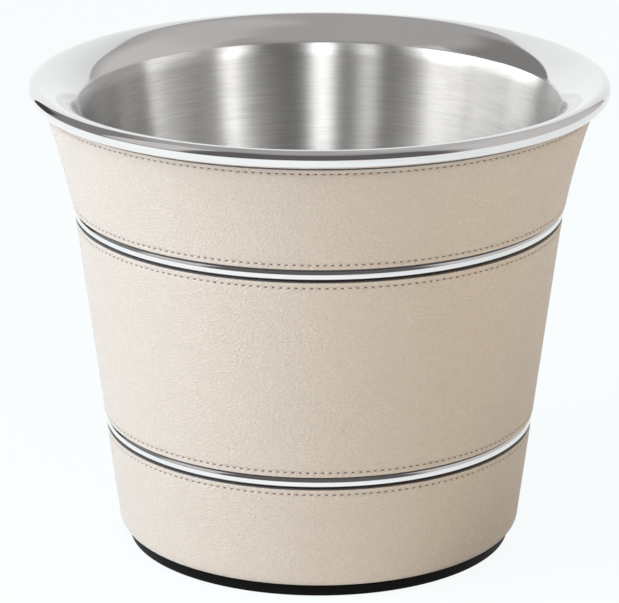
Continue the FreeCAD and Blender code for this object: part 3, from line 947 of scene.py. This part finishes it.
class BUCKET_OT_studio(Operator):
    """Build the floor, the surround, the lamps and the camera"""
    bl_idname = "bucket.studio"
    bl_label = "Studio"

    def floor(self):
        bpy.ops.object.select_all(action="DESELECT")
        bpy.ops.mesh.primitive_circle_add(vertices=96, radius=FLOOR_RADIUS, fill_type="NGON", location=(0, 0, 0))
        ground = bpy.context.object
        ground.name = "studio_floor"
        finish = Finish("studio_floor_white")
        rays = finish.node("ShaderNodeLightPath").outputs
        # the floor throws little light up beside the bucket on the side away from the key light
        away = finish.vector("DISTANCE", finish.place(), SHADED_SPOT)["Value"]
        dim = finish.math("MULTIPLY", finish.ramp(away, 0.1, 0.19, 1.0, 0.0), rays["Is Diffuse Ray"])
        finish.apply({"Base Color": finish.blend(dim, FLOOR_COLOUR, FLOOR_SHADE), "Roughness": 0.9,
                      "Specular IOR Level": 0.0})
        # the steel sees the floor a little brighter than the camera does, most of all at the left
        right_side = finish.ramp(finish.split(finish.place())["X"], -0.05, 0.22)
        for_steel = finish.math("SUBTRACT", 0.1, finish.math("MULTIPLY", right_side, 0.16))
        glow = finish.node("ShaderNodeEmission")
        glow.inputs["Color"].default_value = FLOOR_GLOW
        finish.feed(glow.inputs["Strength"], finish.math("MULTIPLY_ADD", for_steel, rays["Is Glossy Ray"], 1.0))
        # the glow shows only where the camera, metal or glass see the floor
        seen = finish.math("MAXIMUM", rays["Is Camera Ray"], rays["Is Glossy Ray"])
        seen = finish.math("MAXIMUM", seen, rays["Is Transmission Ray"])
        mix = finish.node("ShaderNodeMixShader")
        finish.feed(mix.inputs[0], finish.math("MULTIPLY", seen, 0.94))
        finish.feed(mix.inputs[1], finish.surface.outputs[0])
        finish.feed(mix.inputs[2], glow.outputs[0])
        finish.feed(finish.tree.nodes["Material Output"].inputs["Surface"], mix.outputs[0])
        ground.data.materials.append(finish.material)

    def surround(self, strength):
        """The studio as the bucket sees it: a white backdrop behind, a grey ceiling, a dark room in front."""
        world = bpy.data.worlds.new("studio_surround")
        bpy.context.scene.world = world
        world.use_nodes = True
        sky = Nodes(world.node_tree)
        x, y, z = sky.split(sky.node("ShaderNodeTexCoord").outputs["Generated"])
        up = sky.math("MULTIPLY", sky.math("ARCSINE", z), 180 / pi)
        bearing = sky.math("MULTIPLY", sky.math("ARCTAN2", x, y), 180 / pi)

        def within(angle, low, high, soft):
            """1 between two angles, with soft ends."""
            return sky.math("MULTIPLY", sky.ramp(angle, low - soft, low + soft),
                           sky.ramp(angle, high - soft, high + soft, 1.0, 0.0))

        def toward(light, level, share):
            """Move the light towards a level by a share."""
            return sky.math("MULTIPLY_ADD", sky.math("SUBTRACT", level, light), share, light)

        in_front = sky.ramp(sky.math("ABSOLUTE", bearing), 112.0, 134.0)
        light = toward(0.41, 0.125, sky.math("MULTIPLY", in_front, sky.ramp(up, 52.0, 72.0, 1.0, 0.0)))
        for level, left, right, low, high, soft in SURROUND_PANELS:
            panel = sky.math("MULTIPLY", within(bearing, left, right, soft), within(up, low, high, soft))
            light = toward(light, level, panel)
        # the white backdrop has rounded upper corners and is brightest in the middle
        aside = sky.math("DIVIDE", sky.math("ABSOLUTE", sky.math("ADD", bearing, 0.25)), 33.8)
        rise = sky.math("DIVIDE", sky.math("MAXIMUM", up, 0.0), 43.0)
        reach = sky.math("ADD", sky.math("POWER", aside, 8.0), sky.math("POWER", rise, 8.0))
        backdrop = sky.ramp(reach, 0.85, 1.2, 1.0, 0.0)
        fall = sky.math("MULTIPLY_ADD", sky.math("MULTIPLY", rise, rise), 0.12,
                       sky.ramp(bearing, -2.0, 36.0, 0.0, 0.17))
        light = toward(light, sky.math("SUBTRACT", 1.02, fall), backdrop)
        light = toward(light, 0.92, sky.ramp(up, -3.0, 1.0, 1.0, 0.0))
        # the camera sees plain white
        to_camera = sky.node("ShaderNodeLightPath").outputs["Is Camera Ray"]
        shown = sky.node("ShaderNodeMix", data_type="FLOAT")
        sky.feed(shown.inputs["Factor"], to_camera)
        sky.feed(shown.inputs["A"], sky.math("MULTIPLY", light, strength))
        sky.feed(shown.inputs["B"], 1.0)
        tint = sky.blend(sky.math("MAXIMUM", backdrop, to_camera), ROOM_TINT, BACKDROP_TINT)
        background = world.node_tree.nodes["Background"]
        sky.feed(background.inputs["Color"], tint)
        sky.feed(background.inputs["Strength"], shown.outputs["Result"])

    def receivers(self, name, pieces):
        """The pieces that a lamp lights, and no others."""
        group = bpy.data.collections.new(name)
        for piece in pieces:
            group.objects.link(bpy.data.objects[piece])
        return group

    def lamp(self, name, bearing, up, distance, size, power, only, aim_height, colour=(1.0, 1.0, 1.0)):
        """A softbox that faces the bucket, by its bearing and its height above the horizon."""
        aim = Vector((0.0, 0.0, aim_height))
        way = Vector((sin(radians(bearing)) * cos(radians(up)), cos(radians(bearing)) * cos(radians(up)),
                      sin(radians(up))))
        bpy.ops.object.light_add(type="AREA", location=aim + way * distance,
                                 rotation=way.to_track_quat("Z", "Y").to_euler())
        made = bpy.context.object
        made.name = name
        made.data.shape = "RECTANGLE"
        made.data.size, made.data.size_y = size
        made.data.energy = power
        made.data.color = colour
        made.light_linking.receiver_collection = only

    def softboxes(self, settings):
        """Light the leather, the thread, the foot and the floor. The steel shows the surround's own softboxes."""
        pieces = ["foot_moulding", "studio_floor"]
        for node, _, _, rows in BANDS:
            pieces += [node + "_skin", *rows]
        matte = self.receivers("all_but_steel", pieces)
        for name, bearing, up, distance, size, power, colour in (
            ("key_softbox", -112.0, 33.0, 1.7, (1.0, 1.2), settings.key_power, (0.85, 1.0, 1.22)),
            ("fill_softbox", 165.0, 42.0, 2.0, (1.6, 1.2), settings.fill_power, (1.05, 0.99, 0.87)),
            ("right_softbox", 112.0, 38.0, 1.8, (1.0, 1.0), settings.right_power, (1.0, 0.8, 0.56)),
        ):
            self.lamp(name, bearing, up, distance, size, power, matte, MIDDLE_OF_BUCKET, colour)

    def bowl_lights(self, strength):
        """Tall narrow lights that draw the upright streaks down the brushed bowl, and light nothing else."""
        bowl = self.receivers("brushed_only", ("liner_bowl",))
        distance = BOWL_LIGHTS_DISTANCE
        for name, (left, right, high, level) in BOWL_LIGHTS.items():
            middle = (BOWL_LIGHTS_LOW + high) / 2
            width = 2 * distance * tan(radians((right - left) / 2)) * cos(radians(middle))
            height = 2 * distance * tan(radians((high - BOWL_LIGHTS_LOW) / 2))
            self.lamp(name, (left + right) / 2, middle, distance, (width, height),
                      strength * level * pi * width * height, bowl, MIDDLE_OF_BOWL)

    def camera(self):
        bpy.ops.object.camera_add(location=(CAMERA_ASIDE, -CAMERA_DISTANCE, CAMERA_HEIGHT),
                                  rotation=(radians(90 - CAMERA_PITCH), 0, 0))
        made = bpy.context.object
        made.name = "studio_camera"
        made.data.sensor_width = 36.0
        made.data.lens = CAMERA_LENS
        made.data.clip_end = 50.0
        bpy.context.scene.camera = made

    def execute(self, context):
        settings = context.scene.bucket_studio
        self.floor()
        self.surround(settings.surround)
        self.softboxes(settings)
        self.bowl_lights(settings.streaks)
        self.camera()
        context.scene.view_settings.view_transform = "Standard"
        return {"FINISHED"}


class BUCKET_PT_panel(Panel):
    """Lists the steps that make the bucket, in order"""
    bl_label = "Champagne Bucket"
    bl_idname = "BUCKET_PT_panel"
    bl_space_type = "VIEW_3D"
    bl_region_type = "UI"
    bl_category = "Bucket"

    def draw(self, context):
        scene = context.scene
        groups = (
            (scene.bucket_steel, ("polish_colour", "polish_roughness", "brushed_colour", "brushed_roughness"),
             ("bucket.bowl", "bucket.rim", "bucket.hoops", "bucket.inner_pieces")),
            (scene.bucket_leather,
             ("leather_colour", "thread_colour", "stitch_pitch", "thread_thickness", "edge_rounding"),
             ("bucket.leather", "bucket.stitches")),
            (scene.bucket_foot, ("rubber_colour", "steps"), ("bucket.foot",)),
            (scene.bucket_studio, ("key_power", "fill_power", "right_power", "streaks", "surround"),
             ("bucket.studio",)),
        )
        for settings, names, steps in groups:
            box = self.layout.box()
            for name in names:
                box.prop(settings, name)
            for step in steps:
                box.operator(step)


SETTINGS = (
    ("bucket_steel", BucketSteelSettings),
    ("bucket_leather", BucketLeatherSettings),
    ("bucket_foot", BucketFootSettings),
    ("bucket_studio", BucketStudioSettings),
)
CLASSES = tuple(group for _, group in SETTINGS) + (
    BUCKET_OT_bowl,
    BUCKET_OT_rim,
    BUCKET_OT_hoops,
    BUCKET_OT_leather,
    BUCKET_OT_stitches,
    BUCKET_OT_foot,
    BUCKET_OT_inner_pieces,
    BUCKET_OT_studio,
    BUCKET_PT_panel,
)


def register():
    for made in CLASSES:
        bpy.utils.register_class(made)
    for name, group in SETTINGS:
        setattr(bpy.types.Scene, name, PointerProperty(type=group))


def unregister():
    for name, _ in SETTINGS:
        delattr(bpy.types.Scene, name)
    for made in reversed(CLASSES):
        bpy.utils.unregister_class(made)


def main():
    register()
    bpy.ops.bucket.bowl()
    bpy.ops.bucket.rim()
    bpy.ops.bucket.hoops()
    bpy.ops.bucket.leather()
    bpy.ops.bucket.stitches()
    bpy.ops.bucket.foot()
    bpy.ops.bucket.inner_pieces()
    bpy.ops.bucket.studio()


if __name__ == "__main__":
    main()
